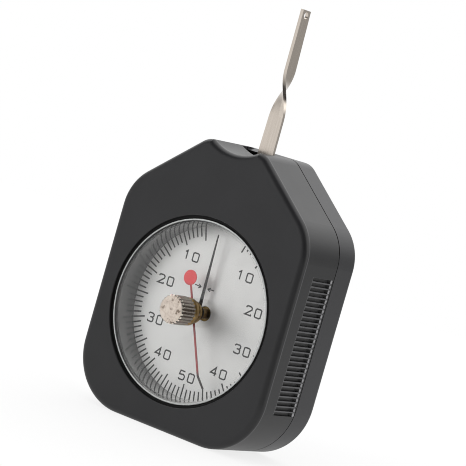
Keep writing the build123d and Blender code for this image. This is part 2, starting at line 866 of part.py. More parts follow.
# Measuring arm: a flat strip with an eye at the hub, a quarter twist above the case, and a
# hole near the tip. The right edge of the strip turns to the front.
with BuildPart() as measuring_arm:
    with BuildSketch(face_at(arm_rear_depth)):
        with Locations((0, pivot_height)):
            Circle(arm_eye_radius)
        with BuildLine():
            Polyline(
                (-arm_width / 2, pivot_height),
                (arm_width / 2, pivot_height),
                (arm_width / 2, case_height),
                (arm_width_at(arm_twist_start_height) / 2, arm_twist_start_height),
                (-arm_width_at(arm_twist_start_height) / 2, arm_twist_start_height),
                (-arm_width / 2, case_height),
                close=True,
            )
        make_face()
        with Locations((0, pivot_height)):
            Circle(hub_spigot_radius + press_gap, mode=Mode.SUBTRACT)
        with Locations(*[(x, pivot_height + y) for x, y in arm_screw_places]):
            Circle(arm_screw_radius + running_gap, mode=Mode.SUBTRACT)
    extrude(amount=arm_thickness)
    for step in range(arm_twist_steps + 1):
        share = step / arm_twist_steps
        height = arm_twist_start_height + (arm_twist_end_height - arm_twist_start_height) * share
        turned = arm_twist * share * share * (3 - 2 * share)
        with BuildSketch(arm_section(height, turned)):
            Rectangle(arm_width_at(height), arm_thickness)
    loft()
    with BuildSketch(arm_section(arm_twist_end_height, arm_twist)):
        Rectangle(arm_width_at(arm_twist_end_height), arm_thickness)
    with BuildSketch(arm_section(arm_tip_height, arm_twist)):
        Rectangle(arm_tip_width, arm_thickness)
    loft()
    hole_height = arm_tip_height - tip_hole_drop
    with BuildSketch(Plane.YZ):
        with Locations((arm_section(hole_height, arm_twist).origin.Y, hole_height)):
            Circle(tip_hole_radius)
    extrude(amount=arm_width, both=True, mode=Mode.SUBTRACT)
measuring_arm.part.label = "measuring_arm"
export_step(measuring_arm.part, "parts/measuring_arm.step")

# Toothed sector behind the arm, with a window between its two spokes
with BuildPart() as sector_gear:
    with BuildSketch(face_at(sector_rear_depth, pivot_height, 180)):
        add(fan(sector_tip_radius, 0, sector_half_angle))
        add(
            fan(sector_root_radius - sector_rim, sector_window_start, sector_window_half_angle),
            mode=Mode.SUBTRACT,
        )
        Circle(sector_hub_radius)
        sector_gap = tooth_gap(
            sector_root_radius, sector_tip_radius, sector_pitch_radius, sector_teeth, flank_steps
        )
        with PolarLocations(
            0,
            sector_tooth_count + 1,
            start_angle=-sector_half_angle,
            angular_range=2 * sector_half_angle,
            endpoint=True,
        ):
            add(sector_gap, mode=Mode.SUBTRACT)
        Circle(hub_spigot_radius + press_gap, mode=Mode.SUBTRACT)
        with Locations(*arm_screw_places):
            Circle(arm_screw_radius + running_gap, mode=Mode.SUBTRACT)
    extrude(amount=sector_thickness)
sector_gear.part.label = "sector_gear"
export_step(sector_gear.part, "parts/sector_gear.step")

arm_screws = round_head_screws(
    arm_screw_places,
    sector_rear_depth,
    pivot_height,
    arm_screw_head_radius,
    arm_screw_head_height,
    arm_screw_radius,
    arm_thickness + sector_thickness + hub_flange_thickness,
)
arm_screws.label = "arm_screws"
export_step(arm_screws, "parts/arm_screws.step")

# Spiral measuring spring behind the rear plate: collet on the arbor, stud on the plate
with BuildPart() as spring_collet:
    collet_face = rear_plate_rear_depth + spring_gap / 2
    with BuildSketch(face_at(collet_face + spring_collet_length, pivot_height)):
        add(ring(spring_collet_radius, arbor_rear_radius + press_gap))
    extrude(amount=spring_collet_length)
spring_collet.part.label = "spring_collet"
export_step(spring_collet.part, "parts/spring_collet.step")

spring_start_radius = spring_collet_radius + press_gap
spring_end_radius = spring_start_radius + spring_pitch * spring_turns + spring_thickness
spring_rear_depth = rear_plate_rear_depth + spring_gap + spring_width
with BuildPart() as measuring_spring:
    with BuildSketch(face_at(spring_rear_depth, pivot_height, 90)):
        add(spiral_strip(spring_start_radius, spring_pitch, spring_turns, spring_thickness))
    extrude(amount=spring_width)
measuring_spring.part.label = "measuring_spring"
export_step(measuring_spring.part, "parts/measuring_spring.step")

with BuildPart() as spring_stud:
    with BuildSketch(face_at(spring_rear_depth, pivot_height, 90)):
        with Locations((spring_end_radius + spring_stud_radius + press_gap, 0)):
            Circle(spring_stud_radius)
    extrude(amount=spring_rear_depth - rear_plate_rear_depth)
spring_stud.part.label = "spring_stud"
export_step(spring_stud.part, "parts/spring_stud.step")

# Arbor of the needle, from the needle's hub through both plates
with BuildPart() as pointer_arbor:
    with BuildSketch(section_at(dial_height)):
        pivot_shoulder = rear_plate_depth - arbor_shoulder_gap
        pivot_end = rear_plate_rear_depth - arbor_shoulder_gap / 2
        with BuildLine():
            Polyline(
                (needle_depth, 0),
                (needle_depth, pointer_arbor_radius),
                (pivot_shoulder, pointer_arbor_radius),
                (pivot_shoulder, pointer_pivot_radius),
                (pivot_end, pointer_pivot_radius),
                (pivot_end, 0),
                close=True,
            )
        make_face()
    revolve(axis=turning_axis(dial_height))
pointer_arbor.part.label = "pointer_arbor"
export_step(pointer_arbor.part, "parts/pointer_arbor.step")

# Pinion: a space between two teeth faces straight up, where the sector's middle tooth stands
with BuildPart() as pinion:
    pinion_rear_depth = sector_rear_depth + (pinion_width - sector_thickness) / 2
    with BuildSketch(face_at(pinion_rear_depth, dial_height)):
        Circle(pinion_tip_radius)
        pinion_gap = tooth_gap(
            pinion_root_radius, pinion_tip_radius, pinion_pitch_radius, pinion_teeth, 2 * flank_steps
        )
        with PolarLocations(0, pinion_teeth):
            add(pinion_gap, mode=Mode.SUBTRACT)
        Circle(pointer_arbor_radius + press_gap, mode=Mode.SUBTRACT)
    extrude(amount=pinion_width)
pinion.part.label = "pinion"
export_step(pinion.part, "parts/pinion.step")

# Hairspring that takes up the play of the gears
with BuildPart() as hairspring_collet:
    collet_margin = (hairspring_collet_length - hairspring_width) / 2
    collet_rear_depth = hairspring_depth + hairspring_width + collet_margin
    with BuildSketch(face_at(collet_rear_depth, dial_height)):
        add(ring(hairspring_collet_radius, pointer_arbor_radius + press_gap))
    extrude(amount=hairspring_collet_length)
hairspring_collet.part.label = "hairspring_collet"
export_step(hairspring_collet.part, "parts/hairspring_collet.step")

hairspring_start_radius = hairspring_collet_radius + press_gap
hairspring_end_radius = (
    hairspring_start_radius + hairspring_pitch * hairspring_turns + hairspring_thickness
)
hairspring_rear_depth = hairspring_depth + hairspring_width
with BuildPart() as hairspring:
    with BuildSketch(face_at(hairspring_rear_depth, dial_height)):
        add(
            spiral_strip(
                hairspring_start_radius, hairspring_pitch, hairspring_turns, hairspring_thickness
            )
        )
    extrude(amount=hairspring_width)
hairspring.part.label = "hairspring"
export_step(hairspring.part, "parts/hairspring.step")

with BuildPart() as hairspring_stud:
    with BuildSketch(face_at(hairspring_rear_depth, dial_height)):
        with Locations((hairspring_end_radius + hairspring_stud_radius + press_gap, 0)):
            Circle(hairspring_stud_radius)
    extrude(amount=hairspring_rear_depth - plate_rear_depth)
hairspring_stud.part.label = "hairspring_stud"
export_step(hairspring_stud.part, "parts/hairspring_stud.step")

# Needle on its turned hub
needle_rear_depth = needle_depth + needle_thickness
with BuildPart() as needle_hub:
    with BuildSketch(section_at(dial_height)):
        with BuildLine():
            Polyline(
                (needle_depth - needle_hub_lift, pointer_arbor_radius + press_gap),
                (needle_depth - needle_hub_lift, needle_spigot_radius),
                (needle_rear_depth, needle_spigot_radius),
                (needle_rear_depth, needle_hub_radius),
                (dial_depth - loose_gap, needle_hub_radius),
                (dial_depth - loose_gap, pointer_arbor_radius + press_gap),
                close=True,
            )
        make_face()
    revolve(axis=turning_axis(dial_height))
needle_hub.part.label = "needle_hub"
export_step(needle_hub.part, "parts/needle_hub.step")

with BuildPart() as needle:
    with BuildSketch(face_at(needle_rear_depth, dial_height, needle_lean)):
        Circle(needle_eye_radius)
        with BuildLine():
            Polyline(
                (-needle_root_half_width, 0),
                (needle_root_half_width, 0),
                (needle_tip_half_width, needle_reach),
                (-needle_tip_half_width, needle_reach),
                close=True,
            )
        make_face()
        Circle(needle_spigot_radius + press_gap, mode=Mode.SUBTRACT)
    extrude(amount=needle_thickness)
needle.part.label = "needle"
export_step(needle.part, "parts/needle.step")

# Bush of the reset knob, held in the crystal by a six-sided nut
with BuildPart() as knob_bush:
    with BuildSketch(section_at(dial_height)):
        with BuildLine():
            Polyline(
                (crystal_recess - bush_flange_thickness, knob_shaft_radius + running_gap),
                (crystal_recess - bush_flange_thickness, bush_flange_radius - bush_bevel),
                (crystal_recess - bush_flange_thickness + bush_bevel, bush_flange_radius),
                (crystal_recess, bush_flange_radius),
                (crystal_recess, bush_radius),
                (bush_nut_depth, bush_radius),
                (bush_nut_depth, knob_shaft_radius + running_gap),
                close=True,
            )
        make_face()
    revolve(axis=turning_axis(dial_height))
knob_bush.part.label = "knob_bush"
export_step(knob_bush.part, "parts/knob_bush.step")

with BuildPart() as bush_nut:
    with BuildSketch(face_at(bush_nut_depth, dial_height)):
        RegularPolygon(bush_nut_radius, 6)
        Circle(bush_radius + press_gap, mode=Mode.SUBTRACT)
    extrude(amount=bush_nut_thickness)
bush_nut.part.label = "bush_nut"
export_step(bush_nut.part, "parts/bush_nut.step")

with BuildPart() as friction_washer:
    with BuildSketch(face_at(collar_depth, dial_height)):
        add(ring(washer_radius, knob_shaft_radius + running_gap))
    extrude(amount=washer_thickness)
friction_washer.part.label = "friction_washer"
export_step(friction_washer.part, "parts/friction_washer.step")

# Reset knob: a turned blank with straight knurling
with BuildPart() as reset_knob:
    knob_rear_depth = -knob_gap
    knob_front_depth = knob_rear_depth - knob_length
    with BuildSketch(section_at(dial_height)):
        with BuildLine():
            Polyline(
                (knob_front_depth, 0),
                (knob_front_depth, knob_radius - knob_bevel),
                (knob_front_depth + knob_bevel, knob_radius),
                (knob_rear_depth, knob_radius),
                (knob_rear_depth, knob_shaft_radius + press_gap),
                (knob_rear_depth - knob_bore_depth, knob_shaft_radius + press_gap),
                (knob_rear_depth - knob_bore_depth, 0),
                close=True,
            )
        make_face()
    revolve(axis=turning_axis(dial_height))
    with BuildSketch(face_at(knob_rear_depth, dial_height)):
        with PolarLocations(knob_radius, knob_teeth):
            RegularPolygon(knob_tooth_depth, 4)
    extrude(amount=knob_length, mode=Mode.SUBTRACT)
reset_knob.part.label = "reset_knob"
export_step(reset_knob.part, "parts/reset_knob.step")

with BuildPart() as knob_shaft:
    shaft_end_depth = collar_depth + peak_collar_thickness
    with BuildSketch(face_at(shaft_end_depth, dial_height)):
        Circle(knob_shaft_radius)
    extrude(amount=shaft_end_depth + knob_gap + knob_bore_depth)
knob_shaft.part.label = "knob_shaft"
export_step(knob_shaft.part, "parts/knob_shaft.step")

# Peak pointer: a collar on the knob's shaft, and a thin hand with a disc at one end and a tip
# bent down to the needle at the other
with BuildPart() as peak_collar:
    with BuildSketch(face_at(shaft_end_depth, dial_height)):
        add(ring(peak_collar_radius, knob_shaft_radius + press_gap))
    extrude(amount=peak_collar_thickness)
peak_collar.part.label = "peak_collar"
export_step(peak_collar.part, "parts/peak_collar.step")

with BuildPart() as peak_pointer:
    peak_rear_depth = shaft_end_depth + peak_thickness
    with BuildSketch(face_at(peak_rear_depth, dial_height, peak_angle)):
        with Locations((0, -peak_disc_reach)):
            Circle(peak_disc_radius)
        with Locations((0, (peak_bend_reach - peak_disc_reach) / 2)):
            Rectangle(2 * peak_half_width, peak_bend_reach + peak_disc_reach)
        Circle(peak_eye_radius)
    extrude(amount=peak_thickness)
    hand_side = Plane(
        origin=(0, -case_depth / 2, dial_height),
        x_dir=(0, 1, 0),
        z_dir=(cos(radians(peak_angle)), 0, -sin(radians(peak_angle))),
    )
    with BuildSketch(hand_side):
        with BuildLine():
            Polyline(
                (shaft_end_depth, peak_bend_reach),
                (peak_tip_depth - peak_thickness, peak_tip_reach),
                (peak_tip_depth, peak_tip_reach),
                (peak_rear_depth, peak_bend_reach - peak_thickness),
                (shaft_end_depth, peak_bend_reach - peak_thickness),
                close=True,
            )
        make_face()
    extrude(amount=peak_half_width, both=True)
peak_pointer.part.label = "peak_pointer"
export_step(peak_pointer.part, "parts/peak_pointer.step")
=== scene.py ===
import json
from math import cos, pi, radians, sin

import bmesh
import bpy
from mathutils import Matrix, Vector


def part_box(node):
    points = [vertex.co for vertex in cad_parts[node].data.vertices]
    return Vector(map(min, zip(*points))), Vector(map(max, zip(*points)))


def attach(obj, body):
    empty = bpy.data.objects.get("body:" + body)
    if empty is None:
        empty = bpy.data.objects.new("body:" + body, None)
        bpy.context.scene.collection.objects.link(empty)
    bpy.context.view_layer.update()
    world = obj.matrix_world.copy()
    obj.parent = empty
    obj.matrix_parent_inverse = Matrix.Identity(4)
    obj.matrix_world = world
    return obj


# Dial tension gauge. X runs to the right as the dial is read, Y to the back, Z up the arm.

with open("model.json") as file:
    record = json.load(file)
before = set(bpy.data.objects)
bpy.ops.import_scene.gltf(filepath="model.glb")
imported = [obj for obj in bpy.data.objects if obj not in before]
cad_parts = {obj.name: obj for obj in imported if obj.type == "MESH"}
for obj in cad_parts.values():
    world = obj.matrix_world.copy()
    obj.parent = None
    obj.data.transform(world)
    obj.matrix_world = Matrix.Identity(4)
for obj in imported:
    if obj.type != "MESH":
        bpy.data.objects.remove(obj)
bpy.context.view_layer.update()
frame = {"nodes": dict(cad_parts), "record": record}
nodes = frame["nodes"]
mm = 0.001
print("frame loaded:", len(nodes), "nodes")

# Places that several pieces share, read from the frame
caseLow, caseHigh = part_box("front_shell")
dialLow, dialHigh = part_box("dial_plate")
dialCentre = (dialLow + dialHigh) / 2
dialFaceY = dialLow.y
knobLow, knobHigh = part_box("reset_knob")
knobCentre = (knobLow + knobHigh) / 2
hubLow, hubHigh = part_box("arm_hub")
hubCentre = (hubLow + hubHigh) / 2


def linear(hexText):  # sRGB hex to the linear colour that a shader takes
    channels = [int(hexText[i : i + 2], 16) / 255 for i in (0, 2, 4)]
    return [v / 12.92 if v <= 0.04045 else ((v + 0.055) / 1.055) ** 2.4 for v in channels] + [1]


def setInputs(tree, node, inputs):  # each is a value, or another node's output to link
    for name, value in inputs.items():
        if isinstance(value, bpy.types.NodeSocket):
            tree.links.new(value, node.inputs[name])
        else:
            node.inputs[name].default_value = value


def setStops(points, stops):  # of a colour ramp, as (place, hex colour or grey level) pairs
    while len(points) < len(stops):
        points.new(0.5)
    for point, (place, tone) in zip(points, stops):
        point.position = place
        point.color = linear(tone) if isinstance(tone, str) else (tone, tone, tone, 1)


def addNode(tree, kind, inputs, stops=(), **settings):  # gives the new node's outputs
    node = tree.nodes.new("ShaderNode" + kind)
    for name, value in settings.items():
        setattr(node, name, value)
    if stops:
        setStops(node.color_ramp.elements, stops)
    setInputs(tree, node, inputs)
    return node.outputs


def startMaterial(name):  # gives the material, its tree and its one shader
    material = bpy.data.materials.new(name)
    material.use_nodes = True
    tree = material.node_tree
    return material, tree, tree.nodes["Principled BSDF"]


def showSurface(tree, surface):
    tree.links.new(surface, tree.nodes["Material Output"].inputs["Surface"])


def within(tree, share, *spans):  # keeps the share where each value is in its (middle, reach)
    for value, (middle, reach) in spans:
        near = addNode(tree, "Math", {0: value, 1: middle, 2: reach}, operation="COMPARE")[0]
        share = addNode(tree, "Math", {0: share, 1: near}, operation="MULTIPLY")[0]
    return share


def radiusFrom(tree, place, centre):  # distance from an axis along Y
    start = {0: place, 1: (centre.x, 0, centre.z)}
    offset = addNode(tree, "VectorMath", start, operation="SUBTRACT")["Vector"]
    flat = addNode(tree, "VectorMath", {0: offset, 1: (1, 0, 1)}, operation="MULTIPLY")["Vector"]
    return addNode(tree, "VectorMath", {0: flat}, operation="LENGTH")["Value"]


def layered(tree, colour, layers):  # lays (where, colour) pairs one over the other
    for share, layer in layers:
        colour = addNode(tree, "Mix", {0: share, 6: colour, 7: layer}, data_type="RGBA")[2]
    return colour


noiseSpread = (0.3, 0.7)  # nearly all of a noise pattern lies between these levels


def uneven(tree, pattern, colours, rough):  # colour and roughness that rise with the pattern
    stops = [*zip(noiseSpread, colours)]
    colour = addNode(tree, "ValToRGB", {"Fac": pattern}, stops)["Color"]
    ends = {"Value": pattern, "To Min": rough[0], "To Max": rough[1]}
    return colour, addNode(tree, "MapRange", ends)["Result"]


# ABS, injection moulded in a spark-eroded tool: a dead satin black with a fine even grain.
# The real grain is about 0.1 mm, drawn at 0.3 mm so that it shows. The tops of the grip ribs, the
# rear ends of the pockets and a line along the front edge are drawn lighter as painted highlights,
# and the pockets, the joint round the shoulders and the dial opening's wall are drawn near black
# as painted shade
absPlastic = {
    "front": ("0d0d0f", "131315"),
    # The rear shell is drawn lighter than the front: painted light for its brighter shoulders
    "rear": ("1a1a1d", "222225"),
    # Painted highlights: on the tops of the grip ribs and in a line along the front edge
    "ridge": "474749",
    "edge": "3c3c3e",
    # Painted shade in the grip pockets
    "pocket": "0b0b0b",
    # Painted highlight at the rear ends of the grip pockets
    "pocketEnd": "a8a8aa",
    # Painted shade in the joint round the shoulders and on the wall of the dial opening
    "joint": "030303",
    "patch": 14 * mm,
    "rough": (0.32, 0.42),
    "grain": 0.3 * mm,
    "grainDepth": 0.012 * mm,
    "grainStrength": 0.6,
    "ior": 1.5,
}
# Where the painted highlights and painted shade lie, as (middle, reach): measured from the front
# of the case, up the case, out to its side or out from the dial's axis
paintedLight = {
    "length": (12.0 * mm, 5.3 * mm),
    "ridges": (11.7 * mm, 5.0 * mm),
    "ends": (17.08 * mm, 0.18 * mm),
    "edge": (1.9 * mm, 0.2 * mm),
    "frontJoint": (17.63 * mm, 0.2 * mm),
    "rearJoint": (17.8 * mm, 0.08 * mm),
    "height": (dialCentre.z, 20.0 * mm),
    "jointHeight": (76.0 * mm, 14.0 * mm),
    "side": (caseHigh.x, 2.0 * mm),
    "proud": (caseHigh.x, 0.12 * mm),
    "opening": (27.3 * mm, 0.09 * mm),
}


def mouldedAbs(name, colours, joint, withPaintedLight):
    material, tree, shader = startMaterial(name)
    place = addNode(tree, "TexCoord", {})["Object"]
    patchNoise = {"Vector": place, "Scale": 1 / absPlastic["patch"], "Detail": 3.0}
    patches = addNode(tree, "TexNoise", patchNoise)["Fac"]
    colour, rough = uneven(tree, patches, colours, absPlastic["rough"])
    axes = addNode(tree, "SeparateXYZ", {"Vector": place})
    depth = addNode(tree, "Math", {0: axes["Y"], 1: caseLow.y}, operation="SUBTRACT")[0]
    # Painted shade: the joint is drawn near black round the shoulders only
    dark = within(tree, 1.0, (depth, joint), (axes["Z"], paintedLight["jointHeight"]))
    if withPaintedLight:
        sideways = addNode(tree, "Math", {0: axes["X"]}, operation="ABSOLUTE")[0]
        edge = within(tree, 1.0, (depth, paintedLight["edge"]))
        proud = within(tree, 1.0, (sideways, paintedLight["proud"]))
        grip = within(tree, 1.0, (sideways, paintedLight["side"]), (depth, paintedLight["length"]))
        grip = within(tree, grip, (axes["Z"], paintedLight["height"]))
        # The grip pockets, drawn near black as painted shade
        pockets = addNode(tree, "Math", {0: grip, 1: proud}, operation="GREATER_THAN")[0]
        ends = within(tree, pockets, (depth, paintedLight["ends"]))
        ridges = within(tree, grip, (sideways, paintedLight["proud"]), (depth, paintedLight["ridges"]))
        # Painted highlights on the rib tops, the pocket ends and the front edge, and painted shade
        # in the pockets
        areas = {"edge": edge, "pocket": pockets, "pocketEnd": ends, "ridge": ridges}
        layers = [(share, linear(absPlastic[area])) for area, share in areas.items()]
        colour = layered(tree, colour, layers)
        # Painted shade: the wall of the dial opening is drawn as black as the joint
        wall = within(tree, 1.0, (radiusFrom(tree, place, dialCentre), paintedLight["opening"]))
        dark = addNode(tree, "Math", {0: dark, 1: wall}, operation="MAXIMUM")[0]
    grainNoise = {"Vector": place, "Scale": 1 / absPlastic["grain"], "Detail": 1.0}
    relief = {
        "Height": addNode(tree, "TexNoise", grainNoise)["Fac"],
        "Distance": absPlastic["grainDepth"],
        "Strength": absPlastic["grainStrength"],
    }
    looks = {
        "Base Color": layered(tree, colour, [(dark, linear(absPlastic["joint"]))]),
        "Roughness": addNode(tree, "Math", {0: rough, 1: dark}, operation="MAXIMUM")[0],
        "IOR": absPlastic["ior"],
        "Normal": addNode(tree, "Bump", relief)["Normal"],
    }
    setInputs(tree, shader, looks)
    return material


# Acrylic, moulded and polished: clear, with a faint grey in its thickness
acrylic = {"tint": "fafafa", "rough": 0.02, "ior": 1.49}


def mouldedAcrylic():
    material, tree, shader = startMaterial("moulded acrylic")
    tint = linear(acrylic["tint"])
    looks = {
        "Base Color": tint,
        "Roughness": acrylic["rough"],
        "IOR": acrylic["ior"],
        "Transmission Weight": 1.0,
    }
    setInputs(tree, shader, looks)
    # Lamps shine through the crystal on the dial
    shadow = addNode(tree, "LightPath", {})["Is Shadow Ray"]
    clear = addNode(tree, "BsdfTransparent", {"Color": tint})["BSDF"]
    both = {0: shadow, 1: shader.outputs["BSDF"], 2: clear}
    showSurface(tree, addNode(tree, "MixShader", both)["Shader"])
    return material


# Nitrile rubber, die cut: matt black with specks of talc, drawn at 0.6 mm so that they show
rubber = {
    "tones": [(0.35, "0e0e0e"), (0.7, "1c1c1c")],
    "speck": 0.6 * mm,
    "rough": 0.8,
    "ior": 1.52,
}


def dieCutRubber():
    material, tree, shader = startMaterial("die-cut nitrile")
    place = addNode(tree, "TexCoord", {})["Object"]
    speckNoise = {"Vector": place, "Scale": 1 / rubber["speck"], "Detail": 2.0}
    specks = addNode(tree, "TexNoise", speckNoise)["Fac"]
    colour = addNode(tree, "ValToRGB", {"Fac": specks}, rubber["tones"])["Color"]
    looks = {"Base Color": colour, "Roughness": rubber["rough"], "IOR": rubber["ior"]}
    setInputs(tree, shader, looks)
    return material


# Aluminium dial, sprayed with satin silver lacquer: an even flake and no clear reflections.
# Real flake is about 0.05 mm, drawn at 0.28 mm so that it shows
lacquer = {
    "tones": [(0.75, "c8c8c7"), (1.0, "d4d4d2")],
    "flake": 0.28 * mm,
    "cloud": 9 * mm,
    "flakeDepth": 0.01 * mm,
    "flakeStrength": 0.5,
    "metallic": 0.15,
    "rough": 0.55,
}


def silverLacquer():
    material, tree, shader = startMaterial("satin silver lacquer")
    place = addNode(tree, "TexCoord", {})["Object"]
    flake, cloud = (
        addNode(tree, "TexNoise", {"Vector": place, "Scale": 1 / size, "Detail": 2.0})["Fac"]
        for size in (lacquer["flake"], lacquer["cloud"])
    )
    both = addNode(tree, "Math", {0: flake, 1: cloud}, operation="ADD")[0]
    relief = {
        "Height": flake,
        "Distance": lacquer["flakeDepth"],
        "Strength": lacquer["flakeStrength"],
    }
    looks = {
        "Base Color": addNode(tree, "ValToRGB", {"Fac": both}, lacquer["tones"])["Color"],
        "Metallic": lacquer["metallic"],
        "Roughness": lacquer["rough"],
        "Normal": addNode(tree, "Bump", relief)["Normal"],
    }
    setInputs(tree, shader, looks)
    return material


# Turned parts, and springs wound on an arbor: rings round an axis along Y, a little uneven, with
# tarnish in patches. Real tool marks are about 0.1 mm apart, drawn wider so that they show.
# A wave texture runs 20 radians per metre at a scale of 1
turning = {
    "patch": 1.6 * mm,
    "depth": 0.006 * mm,
    "strength": 0.5,
    "distortion": 0.6,
    "radiansPerMetre": 20,
}
# Name, two colours, roughness from and to, pitch of the rings and their centre
turnedParts = {
    "screw_steel": (
        "zinc-plated steel", ("9c9c9a", "b9b9b6"), (0.25, 0.42), 0.754 * mm, dialCentre
    ),
    "plate_brass": (
        "lapped brass", ("6b5836", "8b7346"), (0.25, 0.4), 1.257 * mm, dialCentre
    ),
    "turned_brass": (
        "turned brass", ("6a5232", "ac9060"), (0.3, 0.42), 0.942 * mm, knobCentre
    ),
    "turned_steel": (
        "turned steel", ("8e8e90", "b4b4b6"), (0.15, 0.3), 0.754 * mm, knobCentre
    ),
    "spring_steel": (
        "blued spring steel", ("2c3550", "4a587c"), (0.2, 0.35), 1.257 * mm, hubCentre
    ),
    "hairspring_bronze": (
        "rolled phosphor bronze", ("8c5a2c", "b0783e"), (0.2, 0.35), 0.628 * mm, knobCentre
    ),
}


def turnedMetal(name, colours, rough, pitch, centre):
    material, tree, shader = startMaterial(name)
    place = addNode(tree, "TexCoord", {})["Object"]
    patchNoise = {"Vector": place, "Scale": 1 / turning["patch"], "Detail": 3.0}
    patches = addNode(tree, "TexNoise", patchNoise)["Fac"]
    colour, roughness = uneven(tree, patches, colours, rough)
    toCentre = {"Vector": place, "Location": [-v for v in centre]}
    wave = {
        "Vector": addNode(tree, "Mapping", toCentre)["Vector"],
        "Scale": 2 * pi / (turning["radiansPerMetre"] * pitch),
        "Distortion": turning["distortion"],
    }
    rings = addNode(tree, "TexWave", wave, wave_type="RINGS", rings_direction="Y")["Fac"]
    relief = {"Height": rings, "Distance": turning["depth"], "Strength": turning["strength"]}
    looks = {
        "Base Color": colour,
        "Metallic": 1.0,
        "Roughness": roughness,
        "Normal": addNode(tree, "Bump", relief)["Normal"],
    }
    setInputs(tree, shader, looks)
    return material


# Nickel on brass, tumbled before plating: pale and warm on its face, with a few stains, brighter
# and greyer down its side. The flutes between the teeth are drawn darker as painted shade, and at
# the front edge the crests carry a painted highlight with painted shade between them.
# The marks that tumbling leaves are about 0.1 mm, drawn at 0.35 mm so that they show
knobNickel = {
    "faceTones": [(0.36, "8d7f70"), (0.43, "dccdc0"), (0.58, "efe3d7")],
    "side": "a29a92",
    # Painted shade in the flutes, and at the front edge painted highlights on the crests with
    # painted shade between them
    "flute": "857c74",
    "tip": "fbf1e6",
    "edgeShade": "120f0d",
    "rough": (0.2, 0.42),  # of the side and of the face
    "face": 0.25 * mm,
    "edge": (0.5 * mm, 0.22 * mm),  # middle and reach, from the face
    "crest": 3.93 * mm,  # radius at which a tooth's crest begins
    "stain": 1.5 * mm,
    "stainRoughness": 0.65,
    "pit": 0.35 * mm,
    "pitDepth": 0.03 * mm,
    "pitStrength": 0.5,
}


def tumbledNickel():
    material, tree, shader = startMaterial("tumbled nickel plate")
    place = addNode(tree, "TexCoord", {})["Object"]
    stainNoise = {
        "Vector": place,
        "Scale": 1 / knobNickel["stain"],
        "Detail": 4.0,
        "Roughness": knobNickel["stainRoughness"],
    }
    stains = addNode(tree, "TexNoise", stainNoise)["Fac"]
    stained = addNode(tree, "ValToRGB", {"Fac": stains}, knobNickel["faceTones"])["Color"]
    fromAxis = {0: radiusFrom(tree, place, knobCentre), 1: knobNickel["crest"]}
    crests = addNode(tree, "Math", fromAxis, operation="GREATER_THAN")[0]
    depth = addNode(tree, "SeparateXYZ", {"Vector": place})["Y"]
    start, reach = knobNickel["edge"]
    edgeSpan = (depth, (knobLow.y + start, reach))
    face = within(tree, 1.0, (depth, (knobLow.y, knobNickel["face"])))
    # Painted light on the teeth: lighter crests, and at the front edge painted shade with a
    # painted highlight on the crests
    layers = [
        (crests, linear(knobNickel["side"])),
        (within(tree, 1.0, edgeSpan), linear(knobNickel["edgeShade"])),
        (within(tree, crests, edgeSpan), linear(knobNickel["tip"])),
        (face, stained),
    ]
    rough = {"Value": face, "To Min": knobNickel["rough"][0], "To Max": knobNickel["rough"][1]}
    pitNoise = {"Vector": place, "Scale": 1 / knobNickel["pit"], "Detail": 2.0}
    relief = {
        "Height": addNode(tree, "TexNoise", pitNoise)["Fac"],
        "Distance": knobNickel["pitDepth"],
        "Strength": knobNickel["pitStrength"],
    }
    looks = {
        "Base Color": layered(tree, linear(knobNickel["flute"]), layers),
        "Metallic": 1.0,
        "Roughness": addNode(tree, "MapRange", rough)["Result"],
        "Normal": addNode(tree, "Bump", relief)["Normal"],
    }
    setInputs(tree, shader, looks)
    return material


# Nickel on a rolled steel strip: satin, with the rolling marks along the strip. Real marks are
# under 0.1 mm wide, drawn at 0.25 mm so that they show
stripNickel = {
    "colours": ("cfc5ba", "ddd3c8"),
    "rough": (0.12, 0.22),
    "line": 0.25 * mm,
    "run": 14 * mm,
    "lineDepth": 0.01 * mm,
    "lineStrength": 0.4,
}


def platedStrip():
    material, tree, shader = startMaterial("nickel-plated strip")
    place = addNode(tree, "TexCoord", {})["Object"]
    across, along = 1 / stripNickel["line"], 1 / stripNickel["run"]
    drawn = addNode(tree, "Mapping", {"Vector": place, "Scale": (across, across, along)})
    lineNoise = {"Vector": drawn["Vector"], "Scale": 1.0, "Detail": 3.0}
    lines = addNode(tree, "TexNoise", lineNoise)["Fac"]
    colour, roughness = uneven(tree, lines, stripNickel["colours"], stripNickel["rough"])
    relief = {
        "Height": lines,
        "Distance": stripNickel["lineDepth"],
        "Strength": stripNickel["lineStrength"],
    }
    looks = {
        "Base Color": colour,
        "Metallic": 1.0,
        "Roughness": roughness,
        "Normal": addNode(tree, "Bump", relief)["Normal"],
    }
    setInputs(tree, shader, looks)
    return material


# Sprayed enamel on thin aluminium, and printed ink: an even coat with a faint orange peel
paintCoat = {"peel": 0.5 * mm, "peelDepth": 0.01 * mm, "peelStrength": 0.4, "ior": 1.5}
needleEnamel = {"colours": ("0a0a0a", "121212"), "rough": 0.5}
printInk = {"colours": ("0a0a0a", "101010"), "rough": 0.6}


def orangePeel(tree, place):  # gives the pattern and the normal that it bends
    peelNoise = {"Vector": place, "Scale": 1 / paintCoat["peel"], "Detail": 1.0}
    pattern = addNode(tree, "TexNoise", peelNoise)["Fac"]
    relief = {
        "Height": pattern,
        "Distance": paintCoat["peelDepth"],
        "Strength": paintCoat["peelStrength"],
    }
    return pattern, addNode(tree, "Bump", relief)["Normal"]


def enamel(name, paint):
    material, tree, shader = startMaterial(name)
    pattern, normal = orangePeel(tree, addNode(tree, "TexCoord", {})["Object"])
    stops = [*zip(noiseSpread, paint["colours"])]
    looks = {
        "Base Color": addNode(tree, "ValToRGB", {"Fac": pattern}, stops)["Color"],
        "Roughness": paint["rough"],
        "IOR": paintCoat["ior"],
        "Normal": normal,
    }
    setInputs(tree, shader, looks)
    return material


